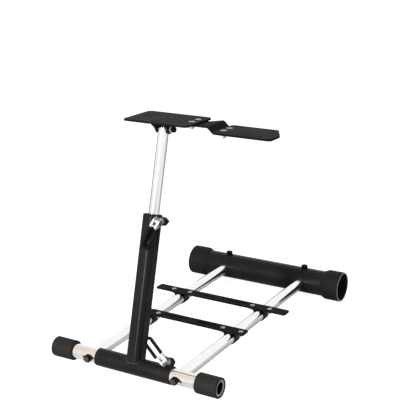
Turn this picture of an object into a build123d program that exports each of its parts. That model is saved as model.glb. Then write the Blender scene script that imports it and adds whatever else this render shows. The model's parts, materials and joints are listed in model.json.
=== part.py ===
"""Folding racing wheel stand.

A ladder-shaped base lies on the floor: a chromed front cross tube, two chromed rails and a wide
black rear tube, with round rubber feet on the tubes' ends.  A black mast turns on the front tube, a chromed post
slides in the mast, and the post carries the tilting wheel plate with the shifter plate at its side.
Two cam levers lock the mast's angle and the post's height.

Lengths are millimetres and angles degrees.  Places are worked out from the mast's centre plane, the
front tube's axis and the floor; the origin is on the floor at the middle of the stand's box.
"""
import os
from math import atan2, cos, degrees, hypot, radians, sin

from build123d import *

os.makedirs("parts", exist_ok=True)

# Clearances, and how far a cut runs past what it cuts
RUNNING_GAP = 0.3
SEAT_GAP = 0.1
OVERCUT = 1.0

# Front cross tube with its rubber feet
FRONT_WIDTH = 445.0
FRONT_TUBE_R = 17.5
FRONT_TUBE_WALL = 2.0
FRONT_FOOT_R = 23.6
FRONT_FOOT_LENGTH = 56.0
FRONT_FOOT_ROUND = 2.4
FRONT_FOOT_MOUTH_R = 18.8
FRONT_FOOT_MOUTH_DEPTH = 8.0
FOOT_MOUTH_CHAMFER = 1.2
FRONT_Z = FRONT_FOOT_R

# Rear tube with its rubber feet
REAR_Y = 662.0
REAR_WIDTH = 461.0
REAR_TUBE_R = 34.0
REAR_TUBE_WALL = 3.0
REAR_FOOT_R = 40.0
REAR_FOOT_LENGTH = 52.0
REAR_FOOT_SHOULDER = 10.0
REAR_FOOT_START_WALL = 1.5
REAR_FOOT_LIP = 4.6
REAR_FOOT_ROUND = 1.8
REAR_FOOT_CUP_DEPTH = 26.0
REAR_FOOT_WEB = 3.0
REAR_Z = REAR_FOOT_R

# Rails
RAIL_R = 14.0
RAIL_WALL = 2.0
RAIL_END_PAST_AXIS = 16.0

# Fixing bolts of the rails
BOLT_R = 5.0
BOLT_CAP_R = 9.5
BOLT_CAP_HEIGHT = 11.0
BOLT_CAP_ROUND = 2.5
BOLT_CAP_SKIRT = 3.5
REAR_CAP_HEIGHT = 9.0
FRONT_BOLT_PAST_TUBE = 20.0
REAR_BOLT_PAST_RAIL = 4.0

# Pedal bars, each held on the rails by two straps
BAR_DEPTH = 30.0
BAR_THICKNESS = 4.0
BAR_CORNER_R = 5.0
BAR_EDGE = 0.6
FRONT_BAR_Y = 245.0
FRONT_BAR_LENGTH = 310.0
REAR_BAR_Y = 400.0
REAR_BAR_LENGTH = 380.0
BAR_SLOT_X = 48.0
BAR_SLOT_LENGTH = 60.0
BAR_SLOT_R = 3.3
STRAP_THICKNESS = 2.5
STRAP_DEPTH = 22.0
STRAP_WING = 15.0
STRAP_BOLT_OFFSET = 24.5
STRAP_BOLT_R = 3.0
STRAP_HEAD_R = 5.8
STRAP_NUT_R = 5.6
STRAP_NUT_HEIGHT = 5.0

# Mast with its pivot sleeve
MAST_LEAN = 13.7
SLEEVE_LENGTH = 199.0
SLEEVE_R = 20.8
SLEEVE_END_GAP = 3.5
SLEEVE_SLIT_START = 36.0
MAST_WIDTH = 36.0
MAST_DEPTH = 42.0
MAST_CORNER_R = 12.0
MAST_WALL = 2.0
MAST_FOOT = 10.0
MAST_TOP = 346.0
MAST_SLIT_LENGTH = 70.0
BUSH_LENGTH = 60.0
BUSH_RIM = 2.5
BUSH_RIM_TAPER = 12.0

# Sliding post
POST_R = 12.5
POST_WALL = 2.0
POST_BACK = 4.0
POST_BOTTOM = 160.0
POST_TOP_R = 12.0
TILT_ALONG = 542.0

# Cam clamps
CLAMP_GAP = 5.0
LUG_THICKNESS = 5.0
LUG_R = 10.0
CLAMP_BOLT_R = 4.0
SADDLE_R = 8.0
CAM_R = 8.5
PIVOT_REACH = 22.5
EYE_R = 6.5
EYE_WIDTH = 7.6
PIN_R = 3.0
CHEEK_INNER = 4.3
CHEEK_OUTER = 9.0
FORK_REACH = 12.5
FORK_RISE = 8.5
FORK_TIP_R = 3.6
FORK_BRIDGE_R = 2.6
FORK_BRIDGE_REACH = 11.0
LOOP_LENGTH = 68.5
LOOP_HALF_WIDTH = 12.2
LOOP_BAR = 7.2
LOOP_HEIGHT = 6.4
LOOP_ROUND = 1.8
NUT_R = 6.8
NUT_LENGTH = 8.0
NUT_ROUND = 1.6
BOLT_TAIL = 7.0
LOWER_CLAMP_FROM_END = 15.0
LOWER_CLAMP_REACH = 28.0
LOWER_CLAMP_LEAN = 25.0
LOWER_LEVER_TURN = 143.7
UPPER_CLAMP_X = 28.0
UPPER_CLAMP_FROM_TOP = 10.0
UPPER_LEVER_TURN = -18.0

# Tilting wheel plate
PLATE_GAP = 17.0
PLATE_THICKNESS = 4.0
PLATE_HALF_WIDTH = 85.0
PLATE_FRONT_Y = 90.0
PLATE_REAR_Y = 205.0
PLATE_CORNER_R = 12.0
PLATE_EDGE = 0.8
PLATE_HOLE_R = 3.3
PLATE_HOLE_X = 110.0
PLATE_HOLE_Y = 70.0
EAR_GAP = 0.6
EAR_THICKNESS = 3.5
EAR_TOP_HALF = 27.0
EAR_TOP_WALL = 5.0
EAR_FOOT_R = 11.0
EAR_FLANGE = 18.0
TILT_BOLT_R = 4.0
TILT_HEAD_R = 7.0
TILT_HEAD_LENGTH = 5.5
TILT_NUT_R = 7.5
TILT_NUT_LENGTH = 5.0
TILT_KNOB_R = 6.5
TILT_KNOB_LENGTH = 9.0
TILT_KNOB_ROUND = 3.0

# Shifter plate on its cranked arm
SHIFTER_RIGHT = 275.0
SHIFTER_LEFT = 134.0
SHIFTER_FRONT_Y = 112.0
SHIFTER_REAR_Y = 206.0
SHIFTER_CUT_X = 26.0
SHIFTER_CUT_Y = 48.0
SHIFTER_CORNER_R = 8.0
SHIFTER_Z = 558.6
SHIFTER_THICKNESS = 5.0
SHIFTER_HOLE_X = 76.0
SHIFTER_HOLE_Y = 60.0
SHIFTER_HOLE_R = 3.3
ARM_FRONT_Y = 133.0
ARM_REAR_Y = 182.0
ARM_FLARE_LEFT = 90.0
ARM_FLARE_RIGHT = 110.0
ARM_FLARE_Y = 207.0
ARM_THICKNESS = 5.0
ARM_LEFT = 40.0
ARM_RIGHT = 158.0
ARM_BEND_LEFT = 112.0
ARM_BEND_RIGHT = 126.0
ARM_BEND_R = 8.0
ARM_BOLT_X = 66.0
ARM_BOLT_SPACING = 28.0
PLATE_BOLT_X = 146.0
ARM_BOLT_R = 4.0
ARM_HEAD_R = 7.4
ARM_NUT_R = 7.0
ARM_NUT_HEIGHT = 6.0

# Countersunk bolts of the straps and the arm
SINK_ANGLE = 90.0
SOCKET_DEPTH = 2.0
SOCKET_SHARE = 0.72
NUT_CHAMFER = 0.5
BOLT_PAST_NUT = 1.5

# Worked-out places
FRONT_CAP_REACH = FRONT_TUBE_R + BOLT_CAP_HEIGHT
RAIL_X = SLEEVE_LENGTH / 2 + SLEEVE_END_GAP + RAIL_R
LOWER_CLAMP_X = SLEEVE_LENGTH / 2 - LOWER_CLAMP_FROM_END
UPPER_CLAMP_ALONG = MAST_TOP - UPPER_CLAMP_FROM_TOP
MAST_X = (REAR_WIDTH / 2 - SHIFTER_RIGHT) / 2
FRONT_Y = (FRONT_CAP_REACH - REAR_Y - REAR_FOOT_R) / 2
RAIL_TILT = degrees(atan2(REAR_Z - FRONT_Z, REAR_Y))
RAIL_LENGTH = hypot(REAR_Y, REAR_Z - FRONT_Z)
TILT_Y = TILT_ALONG * sin(radians(MAST_LEAN)) + POST_BACK * cos(radians(MAST_LEAN))
TILT_Z = FRONT_Z + TILT_ALONG * cos(radians(MAST_LEAN)) - POST_BACK * sin(radians(MAST_LEAN))
PLATE_Z = TILT_Z + PLATE_GAP
ARM_DROP_Z = SHIFTER_Z - SHIFTER_THICKNESS
ARM_MIDDLE_Y = (ARM_FRONT_Y + ARM_REAR_Y) / 2
EAR_INNER = POST_R + EAR_GAP
EAR_OUTER = EAR_INNER + EAR_THICKNESS
BAR_BASE = RAIL_R + SEAT_GAP
BAR_TOP = BAR_BASE + BAR_THICKNESS
LUG_FACE = CLAMP_GAP / 2 + LUG_THICKNESS
SADDLE_LENGTH = PIVOT_REACH - CAM_R - RUNNING_GAP - LUG_FACE


def within(frame, x, y, z, x_dir=(1, 0, 0), z_dir=(0, 0, 1)):
    """A plane placed and turned in another plane's own coordinates."""
    across = frame.from_local_coords(Vector(*x_dir)) - frame.origin
    normal = frame.from_local_coords(Vector(*z_dir)) - frame.origin
    return Plane(origin=frame.from_local_coords(Vector(x, y, z)), x_dir=across, z_dir=normal)


def lean(angle):
    """The direction that leans back from upright by an angle, in a plane across X."""
    return (0, sin(radians(angle)), cos(radians(angle)))


# Frames: the stand's, the rails', the mast's, the two clamps', the post's and the tilt bolt's
STAND = Plane(origin=(MAST_X, FRONT_Y, 0))
RAILS = within(STAND, 0, 0, FRONT_Z, z_dir=lean(-RAIL_TILT))
MAST = within(STAND, 0, 0, FRONT_Z, z_dir=lean(MAST_LEAN))
LOWER_CLAMP = within(
    within(STAND, LOWER_CLAMP_X, 0, FRONT_Z, z_dir=lean(LOWER_CLAMP_LEAN)), 0, 0, LOWER_CLAMP_REACH)
UPPER_CLAMP = within(MAST, UPPER_CLAMP_X, 0, UPPER_CLAMP_ALONG, x_dir=(0, 0, -1), z_dir=(1, 0, 0))
POST = within(MAST, 0, POST_BACK, 0)
TILT = within(STAND, 0, TILT_Y, TILT_Z, x_dir=(0, 1, 0), z_dir=(1, 0, 0))


def across_x(x, y, z):
    """A plane of the stand that faces along X, with the stand's Y and Z as its own x and y."""
    return within(STAND, x, y, z, x_dir=(0, 1, 0), z_dir=(1, 0, 0))


def circles_of(piece, radius):
    """A piece's circular edges of one radius."""
    circles = piece.edges().filter_by(GeomType.CIRCLE)
    return circles.filter_by(lambda edge: abs(edge.radius - radius) < SEAT_GAP)


def end_edges(piece, frame, end=-1):
    """The outer edges of a piece's last or first face along a frame's normal."""
    return piece.faces().sort_by(Axis(frame.origin, frame.z_dir))[end].outer_wire().edges()


def save(piece, name):
    """Label a finished piece and write it."""
    piece.part.label = name
    export_step(piece.part, f"parts/{name}.step")


# Base: the two cross tubes
with BuildPart() as front_tube:
    with BuildSketch(across_x(0, 0, FRONT_Z)):
        Circle(FRONT_TUBE_R)
        Circle(FRONT_TUBE_R - FRONT_TUBE_WALL, mode=Mode.SUBTRACT)
    extrude(amount=FRONT_WIDTH / 2 - FRONT_FOOT_MOUTH_DEPTH, both=True)
    for side in (-1, 1):
        with BuildSketch(within(STAND, side * RAIL_X, 0, FRONT_Z, z_dir=(0, 1, 0))):
            Circle(BOLT_R + SEAT_GAP)
        extrude(amount=FRONT_TUBE_R + OVERCUT, both=True, mode=Mode.SUBTRACT)
save(front_tube, "front_tube")

with BuildPart() as rear_tube:
    with BuildSketch(across_x(0, REAR_Y, REAR_Z)):
        Circle(REAR_TUBE_R)
        Circle(REAR_TUBE_R - REAR_TUBE_WALL, mode=Mode.SUBTRACT)
    extrude(amount=REAR_WIDTH / 2 - REAR_FOOT_CUP_DEPTH - REAR_FOOT_WEB, both=True)
    for side in (-1, 1):
        with BuildSketch(within(RAILS, side * RAIL_X, RAIL_LENGTH, 0, z_dir=(0, 1, 0))):
            Circle(RAIL_R + SEAT_GAP)
        extrude(amount=-REAR_TUBE_R - OVERCUT, mode=Mode.SUBTRACT)
        with BuildSketch(within(STAND, side * RAIL_X, REAR_Y, REAR_Z)):
            Circle(BOLT_R + SEAT_GAP)
        extrude(amount=REAR_TUBE_R + OVERCUT, mode=Mode.SUBTRACT)
save(rear_tube, "rear_tube")


def front_foot(side):
    """A thick rubber sleeve over one end of the front tube, with an open mouth."""
    inner_end = FRONT_WIDTH / 2 - FRONT_FOOT_LENGTH
    with BuildPart() as foot:
        with BuildSketch(across_x(side * inner_end, 0, FRONT_Z)):
            Circle(FRONT_FOOT_R)
            Circle(FRONT_TUBE_R, mode=Mode.SUBTRACT)
        extrude(amount=side * FRONT_FOOT_LENGTH)
        with BuildSketch(across_x(side * FRONT_WIDTH / 2, 0, FRONT_Z)):
            Circle(FRONT_FOOT_MOUTH_R)
        extrude(amount=-side * FRONT_FOOT_MOUTH_DEPTH, mode=Mode.SUBTRACT)
        fillet(circles_of(foot, FRONT_FOOT_R), FRONT_FOOT_ROUND)
        mouth = circles_of(foot, FRONT_FOOT_MOUTH_R).sort_by(Axis.X)[-1 if side > 0 else 0]
        chamfer(mouth, FOOT_MOUTH_CHAMFER)
    return foot


def rear_foot(side):
    """A rubber cup on one end of the rear tube: a sloped shoulder, a round tread and an open mouth."""
    with BuildPart() as foot:
        with BuildSketch(within(STAND, 0, REAR_Y, REAR_Z, x_dir=(side, 0, 0), z_dir=(0, 1, 0))):
            end = REAR_WIDTH / 2
            start = end - REAR_FOOT_LENGTH
            seat = end - REAR_FOOT_CUP_DEPTH - REAR_FOOT_WEB
            cup_r = REAR_FOOT_R - REAR_FOOT_LIP
            with BuildLine():
                Polyline(
                    (start, REAR_TUBE_R), (start, REAR_TUBE_R + REAR_FOOT_START_WALL),
                    (start + REAR_FOOT_SHOULDER, REAR_FOOT_R), (end, REAR_FOOT_R),
                    (end, cup_r), (end - REAR_FOOT_CUP_DEPTH, cup_r), (end - REAR_FOOT_CUP_DEPTH, 0),
                    (seat, 0), (seat, REAR_TUBE_R), close=True)
            make_face()
        revolve(axis=Axis(STAND.from_local_coords(Vector(0, REAR_Y, REAR_Z)), (1, 0, 0)))
        fillet(circles_of(foot, REAR_FOOT_R), REAR_FOOT_ROUND)
        mouth = circles_of(foot, cup_r).sort_by(Axis.X)[-1 if side > 0 else 0]
        chamfer(mouth, FOOT_MOUTH_CHAMFER)
    return foot


def rail(side):
    """One chromed rail, coped to the front tube and ending inside the rear tube."""
    with BuildPart() as tube:
        with BuildSketch(within(RAILS, side * RAIL_X, 0, 0, z_dir=(0, 1, 0))):
            Circle(RAIL_R)
            Circle(RAIL_R - RAIL_WALL, mode=Mode.SUBTRACT)
        extrude(amount=RAIL_LENGTH + RAIL_END_PAST_AXIS)
        with BuildSketch(across_x(side * RAIL_X, 0, FRONT_Z)):
            Circle(FRONT_TUBE_R + SEAT_GAP)
        extrude(amount=RAIL_R + OVERCUT, both=True, mode=Mode.SUBTRACT)
        with BuildSketch(within(STAND, side * RAIL_X, REAR_Y, REAR_Z)):
            Circle(BOLT_R + SEAT_GAP)
        extrude(amount=REAR_TUBE_R, both=True, mode=Mode.SUBTRACT)
    return tube


def capped_bolt(seat, cap_height, shank, tube_plane, tube_r):
    """A bolt through a tube: its six-sided cap hugs the tube and its shank runs below the seat."""
    with BuildPart() as bolt:
        with BuildSketch(within(seat, 0, 0, -BOLT_CAP_SKIRT)):
            RegularPolygon(BOLT_CAP_R, 6)
        extrude(amount=cap_height + BOLT_CAP_SKIRT)
        fillet(end_edges(bolt, seat), BOLT_CAP_ROUND)
        with BuildSketch(tube_plane):
            Circle(tube_r)
        extrude(amount=2 * BOLT_CAP_R, both=True, mode=Mode.SUBTRACT)
        with BuildSketch(seat):
            Circle(BOLT_R)
        extrude(amount=-shank)
    return bolt


for side, side_name in ((-1, "left"), (1, "right")):
    save(front_foot(side), f"{side_name}_front_foot")
    save(rear_foot(side), f"{side_name}_rear_foot")
    save(rail(side), f"{side_name}_rail")
    front_seat = within(STAND, side * RAIL_X, -FRONT_TUBE_R, FRONT_Z, z_dir=(0, -1, 0))
    front_bolt = capped_bolt(front_seat, BOLT_CAP_HEIGHT, 2 * FRONT_TUBE_R + FRONT_BOLT_PAST_TUBE,
                             across_x(side * RAIL_X, 0, FRONT_Z), FRONT_TUBE_R)
    save(front_bolt, f"{side_name}_front_bolt")
    rear_seat = within(STAND, side * RAIL_X, REAR_Y, REAR_Z + REAR_TUBE_R)
    rear_bolt = capped_bolt(rear_seat, REAR_CAP_HEIGHT, REAR_TUBE_R + RAIL_R + REAR_BOLT_PAST_RAIL,
                            across_x(side * RAIL_X, REAR_Y, REAR_Z), REAR_TUBE_R)
    save(rear_bolt, f"{side_name}_rear_bolt")


def sink_holes(seats, bolt_r, head_r):
    """Countersunk holes through the piece that is being built, one at each seat."""
    with Locations(*seats):
        CounterSinkHole(bolt_r + SEAT_GAP, head_r + 2 * SEAT_GAP, counter_sink_angle=SINK_ANGLE)


def sunk_bolts(seats, bolt_r, head_r, grip, nut_r, nut_height):
    """Countersunk bolts flush with their seats, each with a six-sided socket and a nut below its grip."""
    with BuildPart() as bolts:
        for seat in seats:
            bolt_end = -grip - nut_height - BOLT_PAST_NUT
            with BuildSketch(within(seat, 0, 0, 0, z_dir=(0, -1, 0))):
                with BuildLine():
                    Polyline((0, -SEAT_GAP), (head_r, -SEAT_GAP), (bolt_r, bolt_r - head_r - SEAT_GAP),
                             (bolt_r, bolt_end), (0, bolt_end), close=True)
                make_face()
            revolve(axis=Axis(seat.origin, seat.z_dir))
            nut_plane = within(seat, 0, 0, -grip)
            with BuildSketch(nut_plane):
                RegularPolygon(nut_r, 6)
            nut = extrude(amount=-nut_height)
            chamfer(end_edges(nut, nut_plane, 0), NUT_CHAMFER)
            with BuildSketch(within(seat, 0, 0, -SEAT_GAP)):
                RegularPolygon(SOCKET_SHARE * bolt_r, 6)
            extrude(amount=-SOCKET_DEPTH, mode=Mode.SUBTRACT)
    return bolts


# Base: the pedal bars with their straps and bolts
def strap_seats(side, y):
    """The two places on a pedal bar's top where one strap's bolts sit."""
    return [within(RAILS, side * RAIL_X + offset, y, BAR_TOP)
            for offset in (-STRAP_BOLT_OFFSET, STRAP_BOLT_OFFSET)]


def pedal_bar(y, length):
    """A flat bar across both rails, with two upright slots for a pedal set's screws."""
    bar_plane = within(RAILS, 0, y, BAR_BASE)
    with BuildPart() as bar:
        with BuildSketch(bar_plane):
            RectangleRounded(length, BAR_DEPTH, BAR_CORNER_R)
        extrude(amount=BAR_THICKNESS)
        chamfer(end_edges(bar, bar_plane), BAR_EDGE)
        with BuildSketch(Plane(origin=bar_plane.origin)):
            with Locations((-BAR_SLOT_X, 0), (BAR_SLOT_X, 0)):
                SlotOverall(BAR_SLOT_LENGTH, 2 * BAR_SLOT_R)
        extrude(amount=BAR_THICKNESS + OVERCUT, both=True, mode=Mode.SUBTRACT)
        for side in (-1, 1):
            sink_holes(strap_seats(side, y), STRAP_BOLT_R, STRAP_HEAD_R)
    return bar


def rail_strap(side, y):
    """A bent strap that passes under one rail and bolts to the bar on both sides of it."""
    inner = BAR_BASE
    outer = inner + STRAP_THICKNESS
    with BuildPart() as strap:
        with BuildSketch(within(RAILS, side * RAIL_X, y, 0, x_dir=(1, 0, 0), z_dir=(0, -1, 0))):
            Circle(outer)
            with Locations((0, inner / 2)):
                Rectangle(2 * outer, inner)
            with Locations((0, inner - STRAP_THICKNESS / 2)):
                Rectangle(2 * (outer + STRAP_WING), STRAP_THICKNESS)
            Circle(inner, mode=Mode.SUBTRACT)
            with Locations((0, RAIL_R)):
                Rectangle(2 * inner, 2 * RAIL_R, mode=Mode.SUBTRACT)
        extrude(amount=STRAP_DEPTH / 2, both=True)
        with BuildSketch(within(RAILS, side * RAIL_X, y, inner)):
            with Locations((-STRAP_BOLT_OFFSET, 0), (STRAP_BOLT_OFFSET, 0)):
                Circle(STRAP_BOLT_R + SEAT_GAP)
        extrude(amount=-2 * STRAP_THICKNESS, mode=Mode.SUBTRACT)
    return strap


for bar_name, bar_y, bar_length in (
        ("front", FRONT_BAR_Y, FRONT_BAR_LENGTH), ("rear", REAR_BAR_Y, REAR_BAR_LENGTH)):
    save(pedal_bar(bar_y, bar_length), f"{bar_name}_pedal_bar")
    for side, side_name in ((-1, "left"), (1, "right")):
        save(rail_strap(side, bar_y), f"{side_name}_{bar_name}_strap")
        bolts = sunk_bolts(strap_seats(side, bar_y), STRAP_BOLT_R, STRAP_HEAD_R,
                           BAR_THICKNESS + STRAP_THICKNESS, STRAP_NUT_R, STRAP_NUT_HEIGHT)
        save(bolts, f"{side_name}_{bar_name}_strap_bolts")


# Mast: the pivot sleeve, the tube and its bush
with BuildPart() as pivot_sleeve:
    with BuildSketch(across_x(0, 0, FRONT_Z)):
        Circle(SLEEVE_R)
        Circle(FRONT_TUBE_R + RUNNING_GAP, mode=Mode.SUBTRACT)
    extrude(amount=SLEEVE_LENGTH / 2, both=True)
    slit_plane = within(STAND, SLEEVE_SLIT_START, 0, FRONT_Z, z_dir=lean(LOWER_CLAMP_LEAN))
    with BuildSketch(slit_plane):
        Rectangle(SLEEVE_LENGTH, CLAMP_GAP, align=(Align.MIN, Align.CENTER))
    extrude(amount=SLEEVE_R + OVERCUT, mode=Mode.SUBTRACT)
save(pivot_sleeve, "pivot_sleeve")

with BuildPart() as mast_tube:
    with BuildSketch(within(MAST, 0, 0, MAST_FOOT)):
        RectangleRounded(MAST_WIDTH, MAST_DEPTH, MAST_CORNER_R)
        RectangleRounded(MAST_WIDTH - 2 * MAST_WALL, MAST_DEPTH - 2 * MAST_WALL,
                         MAST_CORNER_R - MAST_WALL, mode=Mode.SUBTRACT)
    extrude(amount=MAST_TOP - MAST_FOOT)
    with BuildSketch(across_x(0, 0, FRONT_Z)):
        Circle(SLEEVE_R)
    extrude(amount=MAST_WIDTH, both=True, mode=Mode.SUBTRACT)
    with BuildSketch(within(MAST, 0, 0, MAST_TOP)):
        Rectangle(MAST_WIDTH, CLAMP_GAP, align=(Align.MIN, Align.CENTER))
    extrude(amount=-MAST_SLIT_LENGTH, mode=Mode.SUBTRACT)
save(mast_tube, "mast_tube")

with BuildPart() as mast_bush:
    with BuildSketch(within(MAST, 0, 0, MAST_TOP - BUSH_LENGTH)):
        inset = MAST_WALL + SEAT_GAP
        RectangleRounded(MAST_WIDTH - 2 * inset, MAST_DEPTH - 2 * inset, MAST_CORNER_R - inset)
    extrude(amount=BUSH_LENGTH)
    with BuildSketch(within(MAST, 0, 0, MAST_TOP)):
        RectangleRounded(MAST_WIDTH, MAST_DEPTH, MAST_CORNER_R)
    extrude(amount=BUSH_RIM, taper=BUSH_RIM_TAPER)
    with BuildSketch(within(MAST, 0, POST_BACK, MAST_TOP - BUSH_LENGTH)):
        Circle(POST_R + RUNNING_GAP)
    extrude(amount=BUSH_LENGTH + 2 * BUSH_RIM, mode=Mode.SUBTRACT)
save(mast_bush, "mast_bush")


# Cam clamps: a pair of lugs, an eye bolt with its nut and saddle, and the lever
def clamp_lugs(clamp, depth, tube_plane=None):
    """Two flat lugs on either side of a tube's slit, reaching down to the tube."""
    with BuildPart() as lugs:
        for start in (-CLAMP_GAP / 2 - LUG_THICKNESS, CLAMP_GAP / 2):
            with BuildSketch(within(clamp, 0, start + LUG_THICKNESS, 0, z_dir=(0, -1, 0))):
                Circle(LUG_R)
                Rectangle(2 * LUG_R, depth, align=(Align.CENTER, Align.MAX))
                Circle(CLAMP_BOLT_R + SEAT_GAP, mode=Mode.SUBTRACT)
            extrude(amount=LUG_THICKNESS)
        if tube_plane:
            with BuildSketch(tube_plane):
                Circle(SLEEVE_R)
            extrude(amount=2 * LUG_R, both=True, mode=Mode.SUBTRACT)
    return lugs


def clamp_saddle(clamp):
    """The round pad between the front lug and the cam."""
    with BuildPart() as saddle:
        with BuildSketch(within(clamp, 0, -LUG_FACE, 0, z_dir=(0, -1, 0))):
            Circle(SADDLE_R)
            Circle(CLAMP_BOLT_R + SEAT_GAP, mode=Mode.SUBTRACT)
        extrude(amount=SADDLE_LENGTH)
    return saddle


def clamp_nut(clamp):
    """The black round nut behind the rear lug."""
    with BuildPart() as nut:
        with BuildSketch(within(clamp, 0, LUG_FACE, 0, z_dir=(0, 1, 0))):
            Circle(NUT_R)
        extrude(amount=NUT_LENGTH)
        fillet(nut.edges().filter_by(GeomType.CIRCLE), NUT_ROUND)
        with BuildSketch(within(clamp, 0, LUG_FACE, 0, z_dir=(0, 1, 0))):
            Circle(CLAMP_BOLT_R)
        extrude(amount=NUT_LENGTH, mode=Mode.SUBTRACT)
    return nut


def lever_frame(clamp, turn):
    """The cam's frame: x along the lever, y towards the nut and z along the pin."""
    along = (cos(radians(turn)), 0, sin(radians(turn)))
    pin = (-sin(radians(turn)), 0, cos(radians(turn)))
    return within(clamp, 0, -PIVOT_REACH, 0, x_dir=along, z_dir=pin)


def eye_bolt(clamp, lever):
    """The clamp's bolt, with an eye for the lever's pin."""
    with BuildPart() as bolt:
        with BuildSketch(within(clamp, 0, -PIVOT_REACH, 0, z_dir=(0, 1, 0))):
            Circle(CLAMP_BOLT_R)
        extrude(amount=PIVOT_REACH + LUG_FACE + NUT_LENGTH + BOLT_TAIL)
        with BuildSketch(lever):
            Circle(EYE_R)
        extrude(amount=EYE_WIDTH / 2, both=True)
        with BuildSketch(lever):
            Circle(PIN_R + RUNNING_GAP)
        extrude(amount=EYE_WIDTH, both=True, mode=Mode.SUBTRACT)
    return bolt


def lever_fork(lever):
    """The bright cam fork: two round cheeks that taper to the loop and a bridge between them."""
    with BuildPart() as fork:
        for start in (CHEEK_INNER, -CHEEK_OUTER):
            with BuildSketch(within(lever, 0, 0, start)):
                Circle(CAM_R)
                with Locations((FORK_REACH, -FORK_RISE)):
                    Circle(FORK_TIP_R)
                make_hull()
                Circle(PIN_R, mode=Mode.SUBTRACT)
            extrude(amount=CHEEK_OUTER - CHEEK_INNER)
        with BuildSketch(lever):
            with Locations((FORK_BRIDGE_REACH, -FORK_RISE * FORK_BRIDGE_REACH / FORK_REACH)):
                Circle(FORK_BRIDGE_R)
        extrude(amount=CHEEK_INNER, both=True)
    return fork


def lever_pin(lever):
    """The pin that the fork turns on."""
    with BuildPart() as pin:
        with BuildSketch(lever):
            Circle(PIN_R)
        extrude(amount=CHEEK_OUTER, both=True)
    return pin


def lever_loop(lever):
    """The black loop handle: a long U whose ends stand on the fork's tips."""
    half = LOOP_HALF_WIDTH
    start = FORK_REACH + FORK_TIP_R
    with BuildPart() as loop:
        with BuildSketch(within(lever, start, -FORK_RISE, 0, x_dir=(1, 0, 0), z_dir=(0, -1, 0))):
            straight = LOOP_LENGTH - start - half
            for radius, mode in ((half, Mode.ADD), (half - LOOP_BAR, Mode.SUBTRACT)):
                Rectangle(straight, 2 * radius, align=(Align.MIN, Align.CENTER), mode=mode)
                with Locations((straight, 0)):
                    Circle(radius, mode=mode)
        extrude(amount=LOOP_HEIGHT / 2, both=True)
        flat_sides = loop.faces().sort_by(Axis(lever.origin, lever.y_dir))
        long_edges = flat_sides[0].edges() + flat_sides[-1].edges()
        fillet(long_edges.filter_by(Axis(lever.origin, lever.z_dir), reverse=True), LOOP_ROUND)
    return loop


LOWER_LUG_DEPTH = LOWER_CLAMP_REACH - SLEEVE_R / 2
UPPER_LUG_DEPTH = UPPER_CLAMP_X - MAST_WIDTH / 2
for clamp_name, clamp, turn, lug_depth, tube_plane in (
        ("lower", LOWER_CLAMP, LOWER_LEVER_TURN, LOWER_LUG_DEPTH, across_x(LOWER_CLAMP_X, 0, FRONT_Z)),
        ("upper", UPPER_CLAMP, UPPER_LEVER_TURN, UPPER_LUG_DEPTH, None)):
    lever = lever_frame(clamp, turn)
    save(clamp_lugs(clamp, lug_depth, tube_plane), f"{clamp_name}_clamp_lugs")
    save(clamp_saddle(clamp), f"{clamp_name}_clamp_saddle")
    save(eye_bolt(clamp, lever), f"{clamp_name}_clamp_bolt")
    save(clamp_nut(clamp), f"{clamp_name}_clamp_nut")
    save(lever_fork(lever), f"{clamp_name}_lever_fork")
    save(lever_pin(lever), f"{clamp_name}_lever_pin")
    save(lever_loop(lever), f"{clamp_name}_lever_loop")


# Post: the sliding tube with the tilt bolt at its rounded top
with BuildPart() as height_post:
    with BuildSketch(within(POST, 0, 0, POST_BOTTOM)):
        Circle(POST_R)
        Circle(POST_R - POST_WALL, mode=Mode.SUBTRACT)
    extrude(amount=TILT_ALONG + POST_R - POST_BOTTOM)
    with BuildSketch(within(POST, 0, 0, TILT_ALONG, x_dir=(0, 1, 0), z_dir=(1, 0, 0))):
        Rectangle(4 * POST_R, 2 * POST_R, align=(Align.CENTER, Align.MIN))
        Circle(POST_TOP_R, mode=Mode.SUBTRACT)
    extrude(amount=2 * POST_R, both=True, mode=Mode.SUBTRACT)
    with BuildSketch(TILT):
        Circle(TILT_BOLT_R + SEAT_GAP)
    extrude(amount=POST_R + OVERCUT, both=True, mode=Mode.SUBTRACT)
save(height_post, "height_post")

with BuildPart() as tilt_bolt:
    with BuildSketch(within(TILT, 0, 0, -EAR_OUTER - RUNNING_GAP)):
        RegularPolygon(TILT_HEAD_R, 6)
    extrude(amount=-TILT_HEAD_LENGTH)
    chamfer(end_edges(tilt_bolt, TILT, 0), NUT_CHAMFER)
    with BuildSketch(within(TILT, 0, 0, -EAR_OUTER - RUNNING_GAP)):
        Circle(TILT_BOLT_R)
    extrude(amount=2 * (EAR_OUTER + RUNNING_GAP) + TILT_NUT_LENGTH + TILT_KNOB_LENGTH / 2)
save(tilt_bolt, "tilt_bolt")

with BuildPart() as tilt_nut:
    with BuildSketch(within(TILT, 0, 0, EAR_OUTER + RUNNING_GAP)):
        RegularPolygon(TILT_NUT_R, 6)
        Circle(TILT_BOLT_R, mode=Mode.SUBTRACT)
    extrude(amount=TILT_NUT_LENGTH)
    chamfer(end_edges(tilt_nut, TILT), NUT_CHAMFER)
save(tilt_nut, "tilt_nut")

with BuildPart() as tilt_knob:
    with BuildSketch(within(TILT, 0, 0, EAR_OUTER + RUNNING_GAP + TILT_NUT_LENGTH)):
        Circle(TILT_KNOB_R)
    extrude(amount=TILT_KNOB_LENGTH)
    fillet(end_edges(tilt_knob, TILT), TILT_KNOB_ROUND)
    with BuildSketch(within(TILT, 0, 0, EAR_OUTER + RUNNING_GAP + TILT_NUT_LENGTH)):
        Circle(TILT_BOLT_R)
    extrude(amount=TILT_KNOB_LENGTH / 2, mode=Mode.SUBTRACT)
save(tilt_knob, "tilt_knob")


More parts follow.
